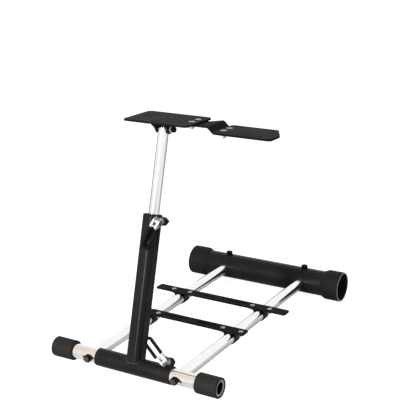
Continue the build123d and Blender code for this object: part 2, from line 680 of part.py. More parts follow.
# Wheel head: the plate, its two ears, the cranked arm and the shifter plate
def plate_ear(side):
    """An angle bracket under the wheel plate: a tapered ear and a flange outwards."""
    with BuildPart() as ear:
        with BuildSketch(within(TILT, 0, 0, side * EAR_INNER)):
            with BuildLine():
                Polyline((-EAR_TOP_HALF, PLATE_GAP), (EAR_TOP_HALF, PLATE_GAP),
                         (EAR_TOP_HALF, PLATE_GAP - EAR_TOP_WALL), (EAR_FOOT_R, 0), (-EAR_FOOT_R, 0),
                         (-EAR_TOP_HALF, PLATE_GAP - EAR_TOP_WALL), close=True)
            make_face()
            Circle(EAR_FOOT_R)
            Circle(TILT_BOLT_R + RUNNING_GAP, mode=Mode.SUBTRACT)
        extrude(amount=side * EAR_THICKNESS)
        with BuildSketch(within(TILT, 0, PLATE_GAP - EAR_THICKNESS / 2, side * EAR_OUTER)):
            Rectangle(2 * EAR_TOP_HALF, EAR_THICKNESS)
        extrude(amount=side * EAR_FLANGE)
    return ear


def arm_seats(x, z):
    """The two places where the arm is bolted to a plate, on the plate's top."""
    return [within(STAND, x, ARM_MIDDLE_Y + offset, z)
            for offset in (-ARM_BOLT_SPACING / 2, ARM_BOLT_SPACING / 2)]


WHEEL_PLATE_SEATS = arm_seats(ARM_BOLT_X, PLATE_Z + PLATE_THICKNESS)
SHIFTER_PLATE_SEATS = arm_seats(PLATE_BOLT_X, SHIFTER_Z)

with BuildPart() as wheel_plate:
    with BuildSketch(within(STAND, 0, (PLATE_FRONT_Y + PLATE_REAR_Y) / 2, PLATE_Z)):
        RectangleRounded(2 * PLATE_HALF_WIDTH, PLATE_REAR_Y - PLATE_FRONT_Y, PLATE_CORNER_R)
        with GridLocations(PLATE_HOLE_X, PLATE_HOLE_Y, 2, 2):
            Circle(PLATE_HOLE_R, mode=Mode.SUBTRACT)
    extrude(amount=PLATE_THICKNESS)
    chamfer(end_edges(wheel_plate, STAND), PLATE_EDGE)
    sink_holes(WHEEL_PLATE_SEATS, ARM_BOLT_R, ARM_HEAD_R)
save(wheel_plate, "wheel_plate")
for side, side_name in ((-1, "left"), (1, "right")):
    save(plate_ear(side), f"{side_name}_plate_ear")

with BuildPart() as shifter_arm:
    with BuildSketch(within(STAND, 0, ARM_FRONT_Y, 0, z_dir=(0, -1, 0))):
        high_z = PLATE_Z - ARM_THICKNESS / 2
        low_z = ARM_DROP_Z - ARM_THICKNESS / 2
        with BuildLine():
            FilletPolyline((ARM_LEFT, high_z), (ARM_BEND_LEFT, high_z), (ARM_BEND_RIGHT, low_z),
                           (ARM_RIGHT, low_z), radius=ARM_BEND_R)
        trace(line_width=ARM_THICKNESS)
    extrude(amount=-(ARM_FLARE_Y - ARM_FRONT_Y))
    with BuildSketch(within(STAND, 0, 0, PLATE_Z)):
        with BuildLine():
            Polyline((ARM_LEFT - OVERCUT, ARM_REAR_Y), (ARM_FLARE_LEFT, ARM_REAR_Y),
                     (ARM_FLARE_RIGHT, ARM_FLARE_Y), (ARM_FLARE_RIGHT, ARM_FLARE_Y + OVERCUT),
                     (ARM_LEFT - OVERCUT, ARM_FLARE_Y + OVERCUT), close=True)
        make_face()
    extrude(amount=2 * ARM_THICKNESS, both=True, mode=Mode.SUBTRACT)
    for x in (ARM_BOLT_X, PLATE_BOLT_X):
        with BuildSketch(within(STAND, x, ARM_MIDDLE_Y, 0)):
            with GridLocations(0, ARM_BOLT_SPACING, 1, 2):
                Circle(ARM_BOLT_R + SEAT_GAP)
        extrude(amount=2 * PLATE_Z, mode=Mode.SUBTRACT)
save(shifter_arm, "shifter_arm")

with BuildPart() as shifter_plate:
    middle_x = (SHIFTER_LEFT + SHIFTER_RIGHT) / 2
    middle_y = (SHIFTER_FRONT_Y + SHIFTER_REAR_Y) / 2
    with BuildSketch(within(STAND, middle_x, middle_y, ARM_DROP_Z)):
        half_x = (SHIFTER_RIGHT - SHIFTER_LEFT) / 2
        half_y = (SHIFTER_REAR_Y - SHIFTER_FRONT_Y) / 2
        with BuildLine():
            FilletPolyline((-half_x, -half_y), (half_x, -half_y), (half_x, half_y - SHIFTER_CUT_Y),
                           (half_x - SHIFTER_CUT_X, half_y), (-half_x, half_y),
                           close=True, radius=SHIFTER_CORNER_R)
        make_face()
        with GridLocations(SHIFTER_HOLE_X, SHIFTER_HOLE_Y, 2, 2):
            Circle(SHIFTER_HOLE_R, mode=Mode.SUBTRACT)
    extrude(amount=SHIFTER_THICKNESS)
    chamfer(end_edges(shifter_plate, STAND), PLATE_EDGE)
    sink_holes(SHIFTER_PLATE_SEATS, ARM_BOLT_R, ARM_HEAD_R)
save(shifter_plate, "shifter_plate")

for seats, bolt_name, grip in (
        (WHEEL_PLATE_SEATS, "arm_bolts", PLATE_THICKNESS + ARM_THICKNESS),
        (SHIFTER_PLATE_SEATS, "shifter_plate_bolts", SHIFTER_THICKNESS + ARM_THICKNESS)):
    save(sunk_bolts(seats, ARM_BOLT_R, ARM_HEAD_R, grip, ARM_NUT_R, ARM_NUT_HEIGHT), bolt_name)
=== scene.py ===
"""Looks for a folding racing wheel stand.

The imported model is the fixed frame.  The operators give its nodes their finishes, add the weld seams,
ribbed nuts, washers, rims and other small pieces that the solids leave out, and set up the studio.
Lengths are metres.
"""
import json
from math import ceil, cos, pi, radians, sin, sqrt

import bmesh
import bpy
from bpy.props import FloatProperty, FloatVectorProperty, IntProperty, PointerProperty
from bpy.types import Operator, Panel, PropertyGroup
from mathutils import Matrix, Vector


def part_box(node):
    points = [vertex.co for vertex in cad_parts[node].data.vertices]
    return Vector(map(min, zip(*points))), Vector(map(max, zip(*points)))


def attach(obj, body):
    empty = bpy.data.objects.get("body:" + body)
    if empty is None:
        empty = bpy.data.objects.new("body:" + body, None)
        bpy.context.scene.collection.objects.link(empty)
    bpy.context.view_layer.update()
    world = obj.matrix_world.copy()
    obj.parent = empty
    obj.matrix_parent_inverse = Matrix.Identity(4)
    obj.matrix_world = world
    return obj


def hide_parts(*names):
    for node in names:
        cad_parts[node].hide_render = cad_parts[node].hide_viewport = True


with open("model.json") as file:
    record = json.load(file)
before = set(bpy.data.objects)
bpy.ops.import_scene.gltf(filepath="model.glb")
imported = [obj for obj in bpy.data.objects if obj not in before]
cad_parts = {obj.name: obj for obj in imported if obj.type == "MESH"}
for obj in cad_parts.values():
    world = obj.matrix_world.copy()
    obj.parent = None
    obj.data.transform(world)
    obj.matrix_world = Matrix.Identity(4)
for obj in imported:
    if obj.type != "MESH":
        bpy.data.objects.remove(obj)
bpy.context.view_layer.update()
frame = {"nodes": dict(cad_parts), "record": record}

bl_info = {
    "name": "Racing wheel stand",
    "version": (1, 0, 0),
    "blender": (4, 5, 0),
    "location": "View3D > Sidebar > Stand",
    "description": "Finishes, small fittings and studio for a folding racing wheel stand",
    "category": "Object",
}

MM = 0.001
RIGHT = Vector((1, 0, 0))
UP = Vector((0, 0, 1))
JOINTS = {joint["name"]: joint for joint in frame["record"]["behaviour"]["joints"]}
SLOTS = {entry["node"]: entry["material_slot"] for entry in frame["record"]["subparts"]}
PIVOT = Vector(JOINTS["mast_fold"]["pos_m"])
MAST_UP = Vector(JOINTS["post_slide"]["axis"]).normalized()
MAST_BACK = MAST_UP.cross(RIGHT)


def middle(node):
    """The middle of a CAD node's box."""
    low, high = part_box(node)
    return (Vector(low) + Vector(high)) / 2


def extent(node, axis):
    """A CAD node's size along one axis of the frame."""
    low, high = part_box(node)
    return high[axis] - low[axis]


# Sizes of the solids that the small pieces sit on
SLEEVE_R = extent("pivot_sleeve", 2) / 2
MAST_WIDTH = extent("mast_tube", 0)
LUG_FACE = 7.5 * MM
LUG_HALF = 10 * MM
CHEEK = 9 * MM
REAR_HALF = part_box("right_rear_foot")[1][0] - PIVOT.x
CAP_FACE = -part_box("left_front_bolt")[0][1]

# Points nearer than this are one, and edges sharper than these angles stay crisp
MERGE_REACH = 1e-7
SHARP = radians(40)
NUT_SHARP = radians(28)
THREAD_SHARP = radians(25)

# Where the painted highlight on an end face starts and is full, from the end inwards
END_START = 0.4 * MM
END_FULL = 0.1 * MM

# Weld ripples: their lean, their length in steps, their height in seam widths
RIPPLE_LEAN = radians(-14)
RIPPLE_LENGTH = 1.05
RIPPLE_HEIGHT = 0.34
RIPPLE_SIDES = 10
RIPPLE_RINGS = 6

# Weld seams: steps round a mast corner, the longest stretch between two points of the mast's seam, the
# other seams' widths as shares of the mast's, and the ears' short seams
CORNER_STEPS = 8
SEAM_REACH = 3 * MM
LOWER_LUG_SEAM = 0.8
LOWER_LUG_RISE = 0.6
UPPER_LUG_SEAM = 0.7
EAR_SEAM = 0.8
EAR_SEAM_LENGTH = 14 * MM
EAR_SEAM_INSET = 8 * MM
EAR_SEAM_SUNK = 0.4 * MM

# Clamp nuts with their washers, and the thread past them
NUT_GROOVE = 0.94
NUT_DOME = 1.6 * MM
NUT_RECESS_INSET = 1.6 * MM
NUT_RECESS_SLOPE = 0.3 * MM
NUT_RECESS_DEPTH = 0.8 * MM
WASHER_R = 7.4 * MM
WASHER_BORE_R = 4.05 * MM
WASHER_THICKNESS = 1.2 * MM
WASHER_ROUND = 0.3 * MM
THREAD_ROOT_R = 3.9 * MM
THREAD_CREST_R = 4.35 * MM
THREAD_FLANK = 0.42
THREAD_START = 0.8

# Outlines of heads, as (radius, height) in shares of the head's radius
PIN_HEAD = ((0.3, -0.1), (1, -0.1), (1, 0.08), (0.85, 0.2), (0.55, 0.24), (0.45, 0.1), (0.3, 0.1))
RIVET_HEAD = ((0.25, -0.3), (1, -0.3), (1, 0.12), (0.8, 0.36), (0.25, 0.42))

# Rims of the front feet
RIM_ROUND = 0.4 * MM
RIM_THICKNESS = 2 * MM

# Studio: floor, strip lamp, camera, and the panels as name, place, facing, half sizes and colour setting
FLOOR_HALF = 30
LAMP_PLACE = Vector((-0.3, -2.2, 0.85))
LAMP_TARGET = Vector((0, -0.3, 0.3))
LAMP_WIDTH = 0.16
LAMP_HEIGHT = 1.5
SENSOR_WIDTH = 36
CAMERA_REACH = 100
PANELS = (
    ("ceiling_panel", Vector((-1.2, -0.6, 2.2)), -UP, (1.2, 2.1), "ceiling"),
    ("wall_panel", Vector((-1.5, -2.8, 1.1)), Vector((0, 1, 0)), (1.3, 1.1), "wall"),
    ("front_panel", Vector((1.17, -1.47, 0.36)), Vector((-1, 1, 0)), (0.85, 0.26), "panel"),
    ("right_panel", Vector((1.4, -0.2, 0.3)), -RIGHT, (0.7, 0.29), "side_panel"),
)


class StandFinish(PropertyGroup):
    """Colours and gloss of the stand's surfaces."""

    coat: FloatVectorProperty(
        name="Black coat", description="Satin black coat of the steel", subtype="COLOR",
        default=(0.0105, 0.0104, 0.0105), min=0, max=1)
    coat_edge: FloatVectorProperty(
        name="Coat edges", description="Thin, paler coat along the steel's edges", subtype="COLOR",
        default=(0.045, 0.045, 0.047), min=0, max=1)
    chrome: FloatVectorProperty(
        name="Chrome", description="Polished chrome of the tubes", subtype="COLOR",
        default=(0.92, 0.922, 0.93), min=0, max=1)
    rubber: FloatVectorProperty(
        name="Rubber", description="Matte rubber of the feet", subtype="COLOR",
        default=(0.0118, 0.0116, 0.0113), min=0, max=1)
    # The rims' pale colour is a painted highlight in the front feet's mouths.
    rim_highlight: FloatVectorProperty(
        name="Rubber rims", description="Pale rims of the feet's mouths", subtype="COLOR",
        default=(0.42, 0.43, 0.45), min=0, max=1)
    # The lips' pale colour is a painted highlight on the rear feet's end faces.
    lip_highlight: FloatVectorProperty(
        name="Rubber lips", description="Paler lips of the rear feet", subtype="COLOR",
        default=(0.5, 0.5, 0.51), min=0, max=1)
    # The caps' paler flat faces are a painted highlight.
    cap_face_highlight: FloatVectorProperty(
        name="Cap faces", description="Paler flat faces of the front bolts' caps", subtype="COLOR",
        default=(0.05, 0.05, 0.052), min=0, max=1)
    plastic: FloatVectorProperty(
        name="Black plastic", description="Moulded nuts, caps and handles", subtype="COLOR",
        default=(0.003, 0.003, 0.0032), min=0, max=1)
    zinc: FloatVectorProperty(
        name="Bright zinc", description="Plated cams, pins, bolts and nuts", subtype="COLOR",
        default=(0.45, 0.455, 0.465), min=0, max=1)
    coat_gloss: FloatProperty(
        name="Coat roughness", description="Roughness of the black coat", subtype="FACTOR",
        default=0.27, min=0, max=1)


class StandFittings(PropertyGroup):
    """Sizes of the small pieces that are added to the solids."""

    weld_width: FloatProperty(
        name="Weld width", description="Width of the weld seams", unit="LENGTH", default=5.4 * MM)
    weld_step: FloatProperty(
        name="Weld step", description="Distance from one ripple of a seam to the next", unit="LENGTH",
        default=1.7 * MM)
    mast_depth: FloatProperty(
        name="Mast depth", description="Depth of the mast's rounded section", unit="LENGTH",
        default=42 * MM)
    mast_corner: FloatProperty(
        name="Mast corner", description="Corner radius of the mast's section", unit="LENGTH",
        default=12 * MM)
    mast_foot: FloatProperty(
        name="Mast foot", description="Lowest reach of the mast's wall, from the pivot", unit="LENGTH",
        default=10 * MM)
    nut_radius: FloatProperty(
        name="Nut radius", description="Radius of the clamps' round nuts", unit="LENGTH",
        default=6.8 * MM)
    nut_length: FloatProperty(
        name="Nut length", description="Length of the clamps' round nuts", unit="LENGTH",
        default=8 * MM)
    thread_pitch: FloatProperty(
        name="Thread pitch", description="Distance from one thread crest to the next", unit="LENGTH",
        default=1.1 * MM)
    thread_turns: IntProperty(
        name="Thread turns", description="Crests on each clamp bolt's free end", default=6, min=1)
    rivet_radius: FloatProperty(
        name="Rivet radius", description="Radius of the front tube's rivets", unit="LENGTH",
        default=2.6 * MM)
    rivet_offset: FloatProperty(
        name="Rivet offset", description="How far a rivet is from its rail's bolt", unit="LENGTH",
        default=14 * MM)
    rim_inset: FloatProperty(
        name="Rim inset", description="From a front foot's side to its rim", unit="LENGTH", default=4.9 * MM)
    rim_width: FloatProperty(
        name="Rim width", description="Width of the front feet's rims", unit="LENGTH", default=4.1 * MM)
    rim_sunk: FloatProperty(
        name="Rim depth", description="How deep the rims lie in the mouths", unit="LENGTH",
        default=1.6 * MM)
    pin_radius: FloatProperty(
        name="Pin head radius", description="Radius of the lever pins' heads", unit="LENGTH",
        default=6.0 * MM)
    nut_ribs: IntProperty(
        name="Nut ribs", description="Grip ribs round each clamp nut", default=14, min=6)


class StandStudio(PropertyGroup):
    """Floor, light and camera."""

    floor: FloatVectorProperty(
        name="Floor", description="Colour of the floor", subtype="COLOR", default=(0.62, 0.62, 0.62),
        min=0, max=1)
    floor_glow: FloatProperty(
        name="Floor glow", description="What the floor adds to its own light in the picture",
        default=0.88, min=0)
    mirror_glow: FloatProperty(
        name="Mirror glow", description="What the floor adds to its own light in mirrored surfaces",
        default=0.1, min=0)
    fill: FloatProperty(
        name="Fill light", description="Level of the even light from all round", default=0.42, min=0)
    strip_power: FloatProperty(
        name="Strip lamp", description="Power of the narrow upright lamp in front", unit="POWER",
        default=52.0, min=0)
    panel: FloatVectorProperty(
        name="Front panel", description="Light of the dim panel below the camera that the chrome mirrors",
        subtype="COLOR", default=(0.76, 0.76, 0.77), min=0, max=1)
    side_panel: FloatVectorProperty(
        name="Side panel", description="Light of the pale panel at the right that the chrome mirrors",
        subtype="COLOR", default=(0.9, 0.9, 0.91), min=0, max=1)
    ceiling: FloatVectorProperty(
        name="Ceiling", description="Warm light of the panel overhead", subtype="COLOR",
        default=(0.85, 0.75, 0.64), min=0, max=1)
    wall: FloatVectorProperty(
        name="Wall", description="Warm light of the panel at the front left", subtype="COLOR",
        default=(0.9, 0.82, 0.73), min=0, max=1)
    lens: FloatProperty(
        name="Lens", description="Focal length of the camera", subtype="DISTANCE_CAMERA", default=90.9,
        min=1)
    camera_place: FloatVectorProperty(
        name="Camera place", description="Where the camera stands, from the mast's pivot",
        subtype="TRANSLATION", unit="LENGTH", default=(1.1841, -1.7416, 0.9945))
    camera_target: FloatVectorProperty(
        name="Camera target", description="What the camera looks at, from the mast's pivot",
        subtype="TRANSLATION", unit="LENGTH", default=(0.054, 0.2, 0.3503))


def put(tree, kind, sockets=None, **settings):
    """Add a node with its settings, and fill its sockets with values or links."""
    made = tree.nodes.new(kind)
    for key, value in settings.items():
        setattr(made, key, value)
    for key, value in (sockets or {}).items():
        if isinstance(value, bpy.types.NodeSocket):
            tree.links.new(value, made.inputs[key])
        else:
            made.inputs[key].default_value = value
    return made


def new_group(name, inputs, outputs):
    """A shader node group with named value sockets, and its input and output nodes."""
    tree = bpy.data.node_groups.new(name, "ShaderNodeTree")
    for socket, value in inputs:
        made = tree.interface.new_socket(name=socket, in_out="INPUT", socket_type="NodeSocketFloat")
        made.default_value = value
    for socket in outputs:
        tree.interface.new_socket(name=socket, in_out="OUTPUT", socket_type="NodeSocketFloat")
    return tree, tree.nodes.new("NodeGroupInput"), tree.nodes.new("NodeGroupOutput")


def surface_grain():
    """Fine grain for bumps and broad clouds for colour and gloss."""
    tree, start, end = new_group(
        "surface_grain", (("Grain Scale", 900.0), ("Cloud Scale", 14.0)), ("Height", "Cloud"))
    place = put(tree, "ShaderNodeTexCoord").outputs["Object"]
    grain = put(tree, "ShaderNodeTexNoise", {
        "Vector": place, "Scale": start.outputs["Grain Scale"], "Detail": 2.0, "Roughness": 0.55})
    cloud = put(tree, "ShaderNodeTexNoise", {
        "Vector": place, "Scale": start.outputs["Cloud Scale"], "Detail": 5.0, "Roughness": 0.6})
    spread = put(tree, "ShaderNodeMapRange", {
        "Value": cloud.outputs[0], "From Min": 0.32, "From Max": 0.68})
    tree.links.new(grain.outputs[0], end.inputs["Height"])
    tree.links.new(spread.outputs[0], end.inputs["Cloud"])
    return tree


def edge_wear():
    """A broken-up mask along the edges."""
    tree, start, end = new_group(
        "edge_wear", (("Width", 0.0008), ("Break Scale", 260.0)), ("Mask",))
    place = put(tree, "ShaderNodeTexCoord").outputs["Object"]
    rounded = put(tree, "ShaderNodeBevel", {"Radius": start.outputs["Width"]}, samples=6)
    normal = put(tree, "ShaderNodeNewGeometry").outputs["Normal"]
    facing = put(tree, "ShaderNodeVectorMath", {0: rounded.outputs[0], 1: normal}, operation="DOT_PRODUCT")
    edge = put(tree, "ShaderNodeMapRange", {
        "Value": facing.outputs["Value"], "From Min": 0.985, "From Max": 0.86})
    breaks = put(tree, "ShaderNodeTexNoise", {
        "Vector": place, "Scale": start.outputs["Break Scale"], "Detail": 4.0, "Roughness": 0.7})
    spread = put(tree, "ShaderNodeMapRange", {
        "Value": breaks.outputs[0], "From Min": 0.38, "From Max": 0.62})
    mask = put(tree, "ShaderNodeMath", {0: edge.outputs[0], 1: spread.outputs[0]}, operation="MULTIPLY")
    tree.links.new(mask.outputs[0], end.inputs["Mask"])
    return tree


def colour_mix(tree, factor, first, second):
    """A colour between two, by a socket's value."""
    mix = put(tree, "ShaderNodeMix", data_type="RGBA")
    tree.links.new(factor, mix.inputs[0])
    for index, colour in ((6, first), (7, second)):
        if isinstance(colour, bpy.types.NodeSocket):
            tree.links.new(colour, mix.inputs[index])
        else:
            mix.inputs[index].default_value = (*colour, 1)
    return mix.outputs[2]


def shade(colour, share):
    """A colour made darker or paler."""
    return tuple(min(1.0, part * share) for part in colour)


def end_highlight_mask(tree, axis, heart, half):
    """A mask of the faces that end a piece on both sides along one axis of the frame, where a painted
    highlight goes.
    """
    place = put(tree, "ShaderNodeTexCoord").outputs["Object"]
    split = put(tree, "ShaderNodeSeparateXYZ", {0: place})
    off = put(tree, "ShaderNodeMath", {0: split.outputs[axis], 1: heart}, operation="SUBTRACT")
    away = put(tree, "ShaderNodeMath", {0: off.outputs[0]}, operation="ABSOLUTE")
    mask = put(tree, "ShaderNodeMapRange", {
        "Value": away.outputs[0], "From Min": half - END_START, "From Max": half - END_FULL})
    return mask.outputs[0]


def finish(name, colour, rough, grain, bump, metallic=0.0, specular=0.5, spread=0.12, wear=None, ends=None):
    """A surface finish: clouded colour, gloss that varies, fine bumps and worn edges.

    rough holds the least and greatest roughness, grain the grain's and the clouds' scale, bump the
    strength and depth of the bumps, wear the worn edges' colour and width, spread how far the clouds
    change the colour, and ends the painted highlight colour of the end faces with their axis, middle and
    distance.
    """
    material = bpy.data.materials.new(name)
    material.use_nodes = True
    tree = material.node_tree
    shader = tree.nodes["Principled BSDF"]
    shader.inputs["Metallic"].default_value = metallic
    shader.inputs["Specular IOR Level"].default_value = specular
    surface = put(tree, "ShaderNodeGroup", {"Grain Scale": grain[0], "Cloud Scale": grain[1]},
                  node_tree=bpy.data.node_groups["surface_grain"])
    tint = colour_mix(tree, surface.outputs["Cloud"], shade(colour, 1 - spread), shade(colour, 1 + spread))
    if wear:
        worn = put(tree, "ShaderNodeGroup", {"Width": wear[1]}, node_tree=bpy.data.node_groups["edge_wear"])
        tint = colour_mix(tree, worn.outputs["Mask"], tint, wear[0])
    # Paler end faces: a painted highlight.
    if ends:
        tint = colour_mix(tree, end_highlight_mask(tree, *ends[1:]), tint, ends[0])
    gloss = put(tree, "ShaderNodeMapRange", {
        "Value": surface.outputs["Cloud"], "To Min": rough[0], "To Max": rough[1]})
    relief = put(tree, "ShaderNodeBump", {
        "Height": surface.outputs["Height"], "Strength": bump[0], "Distance": bump[1]})
    tree.links.new(tint, shader.inputs["Base Color"])
    tree.links.new(gloss.outputs[0], shader.inputs["Roughness"])
    tree.links.new(relief.outputs[0], shader.inputs["Normal"])
    return material


FINISHES = {
    "black_steel": "satin_black_coat",
    "chrome": "polished_chrome",
    "rubber": "highlight_foot_rubber",
    "black_plastic": "grained_plastic",
    "zinc": "bright_zinc",
}
OWN_FINISHES = {
    # Rear feet: darker rubber as painted shade, with a painted highlight on their end faces.
    "left_rear_foot": "painted_shade_rubber_lip_highlight",
    "right_rear_foot": "painted_shade_rubber_lip_highlight",
    # Front bolts' caps: their paler end faces are a painted highlight.
    "left_front_bolt": "cap_highlight_plastic",
    "right_front_bolt": "cap_highlight_plastic",
    # Flat plates and bars take a darker, duller coat: painted shade and painted dark reflection of the
    # wheel, shifter and pedals that sit on them and are not modelled.
    "wheel_plate": "painted_shade_matte_coat",
    "shifter_arm": "painted_shade_matte_coat",
    "shifter_plate": "painted_shade_matte_coat",
    "front_pedal_bar": "painted_shade_matte_coat",
    "rear_pedal_bar": "painted_shade_matte_coat",
}


class STAND_OT_finish_nodes(Operator):
    """Make the finishes and give every CAD node the one of its slot"""

    bl_idname = "stand.finish_nodes"
    bl_label = "Finish the solids"

    def execute(self, context):
        looks = context.scene.stand_finish
        surface_grain()
        edge_wear()
        rough = looks.coat_gloss
        coat_wear = (looks.coat_edge, 0.0007)
        rubber = {"rough": (0.62, 0.8), "grain": (1700.0, 30.0), "bump": (0.35, 0.0003),
                  "wear": (shade(looks.rubber, 3.0), 0.0012), "specular": 0.2}
        plastic = {"rough": (0.45, 0.6), "grain": (2200.0, 40.0), "bump": (0.25, 0.0002),
                   "wear": (shade(looks.plastic, 4.0), 0.0006), "specular": 0.06}
        zinc = {"rough": (0.5, 0.62), "grain": (1500.0, 90.0), "bump": (0.1, 0.0002), "metallic": 1.0}
        finish("satin_black_coat", looks.coat, rough=(rough - 0.05, rough + 0.08), grain=(1100.0, 16.0),
               bump=(0.12, 0.0003), wear=coat_wear, specular=0.1)
        # A darker copy of the black coat: painted shade and painted dark reflection on the flat plates and
        # bars.
        finish("painted_shade_matte_coat", shade(looks.coat, 0.7), rough=(0.42, 0.55), grain=(900.0, 16.0),
               bump=(0.2, 0.0003), wear=coat_wear, specular=0.02)
        finish("polished_chrome", looks.chrome, rough=(0.09, 0.12), grain=(2600.0, 60.0),
               bump=(0.004, 0.0001), metallic=1.0, spread=0.03)
        # The seams' coat is a little paler than the black coat: a painted glint on the welds.
        finish("weld_coat_painted_glint", shade(looks.coat, 1.4), rough=(0.26, 0.38), grain=(700.0, 60.0),
               bump=(0.2, 0.0003), specular=0.2)
        finish("highlight_foot_rubber", looks.rubber, **rubber)
        # Rear feet: a darker copy of the feet's rubber is painted shade, and the pale end faces are a
        # painted highlight on the lips.
        finish("painted_shade_rubber_lip_highlight", shade(looks.rubber, 0.45), **rubber,
               ends=(looks.lip_highlight, 0, PIVOT.x, REAR_HALF))
        # Front feet's rims: their pale colour is a painted highlight.
        finish("highlight_rim_rubber", looks.rim_highlight, rough=(0.55, 0.7), grain=(1500.0, 40.0), bump=(0.25, 0.0002))
        finish("grained_plastic", looks.plastic, **plastic)
        # Front bolts' caps: the pale end faces are a painted highlight.
        finish("cap_highlight_plastic", looks.plastic, **plastic, ends=(looks.cap_face_highlight, 1, 0.0, CAP_FACE))
        finish("bright_zinc", looks.zinc, **zinc, wear=(shade(looks.zinc, 1.3), 0.0005), spread=0.2)
        # Pin heads: a darker copy of the zinc, painted shade so that they read as grey rings on the forks.
        finish("painted_shade_pin_zinc", shade(looks.zinc, 0.2), **zinc)
        for name, node in frame["nodes"].items():
            material = bpy.data.materials[OWN_FINISHES.get(name, FINISHES[SLOTS[name]])]
            if not node.material_slots:
                node.data.materials.append(material)
            for slot in node.material_slots:
                slot.material = material
        return {"FINISHED"}


def frame_of(origin, along, side):
    """A matrix whose Z runs along a direction and whose X lies towards a side."""
    z = along.normalized()
    x = (side - z * side.dot(z)).normalized()
    y = z.cross(x)
    turn = Matrix((x, y, z)).transposed().to_4x4()
    return Matrix.Translation(origin) @ turn


def finish_piece(bm, name, body, material, sharp=SHARP):
    """Turn a finished bmesh into a piece that rides on a body."""
    bmesh.ops.remove_doubles(bm, verts=bm.verts, dist=MERGE_REACH)
    bmesh.ops.recalc_face_normals(bm, faces=bm.faces)
    mesh = bpy.data.meshes.new(name)
    bm.to_mesh(mesh)
    bm.free()
    mesh.shade_smooth()
    mesh.set_sharp_from_angle(angle=sharp)
    mesh.materials.append(bpy.data.materials[material])
    piece = bpy.data.objects.new(name, mesh)
    bpy.context.scene.collection.objects.link(piece)
    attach(piece, body)
    return piece


def ring(bm, place, profile, steps=48):
    """Turn a closed outline of (radius, height) points round a place's Z axis."""
    corners = [bm.verts.new(place @ Vector((radius, 0, height))) for radius, height in profile]
    edges = [bm.edges.new((corners[n - 1], corners[n])) for n in range(len(corners))]
    bmesh.ops.spin(bm, geom=corners + edges, cent=place.translation, axis=place.col[2].xyz,
                   angle=2 * pi, steps=steps, use_merge=True)


def weld(bm, points, outwards, width, step):
    """A seam of overlapping ripples along a line of points; outwards gives each point's way out."""
    for n in range(len(points) - 1):
        start, end = points[n], points[n + 1]
        run = end - start
        count = max(1, ceil(run.length / step))
        for k in range(count):
            place = start.lerp(end, k / count)
            out = outwards[n].lerp(outwards[n + 1], k / count).normalized()
            matrix = frame_of(place, out, run) @ Matrix.Rotation(RIPPLE_LEAN, 4, "Y")
            size = Matrix.Diagonal((step * RIPPLE_LENGTH, width / 2, width * RIPPLE_HEIGHT, 1))
            bmesh.ops.create_uvsphere(bm, u_segments=RIPPLE_SIDES, v_segments=RIPPLE_RINGS, radius=1,
                                      matrix=matrix @ size)


def clamp_place(name):
    """Where a clamp is: its bolt's axis, its middle, the way up from its tube and the way across."""
    saddle, nut = middle(f"{name}_clamp_saddle"), middle(f"{name}_clamp_nut")
    axis = (nut - saddle).normalized()
    across = RIGHT if name == "lower" else MAST_UP
    tube = PIVOT + across * (saddle - PIVOT).dot(across)
    heart = saddle + axis * (tube - saddle).dot(axis)
    return {"axis": axis, "middle": heart, "up": (heart - tube).normalized(), "across": across,
            "reach": (heart - tube).length, "nut": nut}


